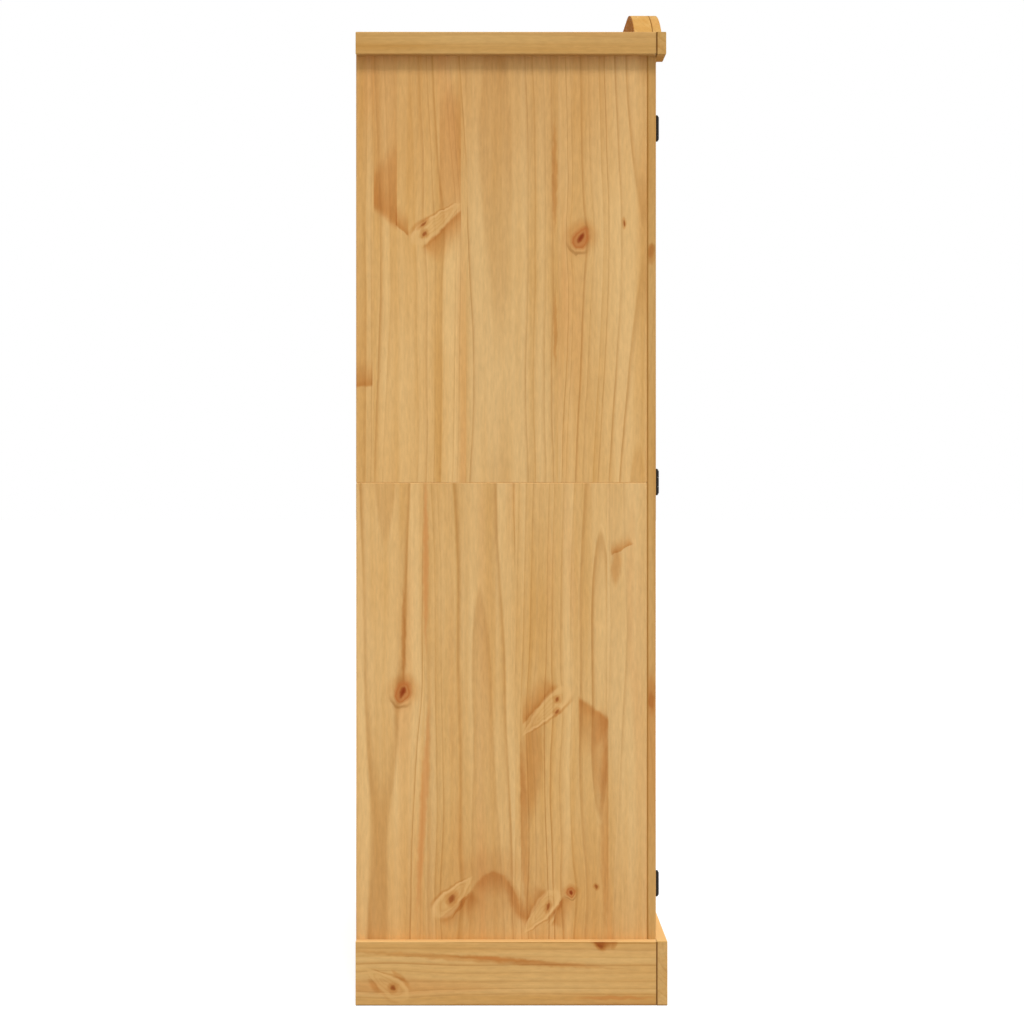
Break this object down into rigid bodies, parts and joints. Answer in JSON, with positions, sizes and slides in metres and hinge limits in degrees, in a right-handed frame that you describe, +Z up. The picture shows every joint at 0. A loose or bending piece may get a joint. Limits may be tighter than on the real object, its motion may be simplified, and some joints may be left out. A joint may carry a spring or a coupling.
{
  "type": "wardrobe",
  "caption": "Free-standing waxed-pine wardrobe with hinged panelled doors, an arched crest, a plinth, a hat shelf and a hanging rail.",
  "frame": {"origin": "at floor level under the middle of the overall box, knobs included", "axes": "+Z up, -Y out of the doors, +X to the right for someone who faces the doors"},
  "size_m": [0.92, 0.531, 1.7],
  "materials": {
    "pine_panel": "honey waxed pine, satin, knots and upright grain",
    "pine_frame": "honey waxed pine, satin, straight grain along the piece",
    "pine_inside": "pale pine, thinly sealed",
    "beech_dowel": "plain beech",
    "black_iron": "black satin lacquer",
    "zinc_steel": "bright zinc plate",
    "catch_plastic": "brown moulded plastic"
  },
  "bodies": {
    "carcass": {"back_boards": "pine_inside", "back_bottom_rail": "pine_inside", "back_middle_rail": "pine_inside", "back_top_rail": "pine_inside", "bottom_board": "pine_inside", "bottom_cleats": "pine_inside", "crest_backing": "pine_frame", "crest_board": "pine_frame", "door_catches": "catch_plastic", "door_stop": "pine_inside", "face_bottom_rail": "pine_frame", "face_stile_left": "pine_frame", "face_stile_right": "pine_frame", "face_top_rail": "pine_frame", "frame_leaves_left": "black_iron", "frame_leaves_right": "black_iron", "glue_blocks": "pine_inside", "hanging_rail": "zinc_steel", "hat_shelf": "pine_inside", "plinth_front": "pine_frame", "plinth_left": "pine_frame", "plinth_right": "pine_frame", "rail_sockets": "zinc_steel", "shelf_cleats": "pine_inside", "side_dowels": "beech_dowel", "side_left_lower": "pine_panel", "side_left_upper": "pine_panel", "side_right_lower": "pine_panel", "side_right_upper": "pine_panel", "top_board": "pine_panel", "top_strip_left": "pine_frame", "top_strip_right": "pine_frame"},
    "door_left": {"door_left_bottom_rail": "pine_frame", "door_left_hinge_stile": "pine_frame", "door_left_knob": "black_iron", "door_left_knob_bolt": "black_iron", "door_left_knob_plate": "black_iron", "door_left_leaves": "black_iron", "door_left_lower_panel": "pine_panel", "door_left_meeting_stile": "pine_frame", "door_left_middle_rail": "pine_frame", "door_left_strike": "zinc_steel", "door_left_top_rail": "pine_frame", "door_left_upper_panel": "pine_panel"},
    "door_right": {"door_right_bottom_rail": "pine_frame", "door_right_hinge_stile": "pine_frame", "door_right_knob": "black_iron", "door_right_knob_bolt": "black_iron", "door_right_knob_plate": "black_iron", "door_right_leaves": "black_iron", "door_right_lower_panel": "pine_panel", "door_right_meeting_stile": "pine_frame", "door_right_middle_rail": "pine_frame", "door_right_strike": "zinc_steel", "door_right_top_rail": "pine_frame", "door_right_upper_panel": "pine_panel"}
  },
  "joints": [
    {"name": "door_left_hinge", "type": "hinge", "parent": "carcass", "child": "door_left", "pos_m": [-0.396, -0.241, 0.872], "axis": [0, 0, -1], "range_deg": [0, 170]},
    {"name": "door_right_hinge", "type": "hinge", "parent": "carcass", "child": "door_right", "pos_m": [0.396, -0.241, 0.872], "axis": [0, 0, 1], "range_deg": [0, 170]}
  ]
}
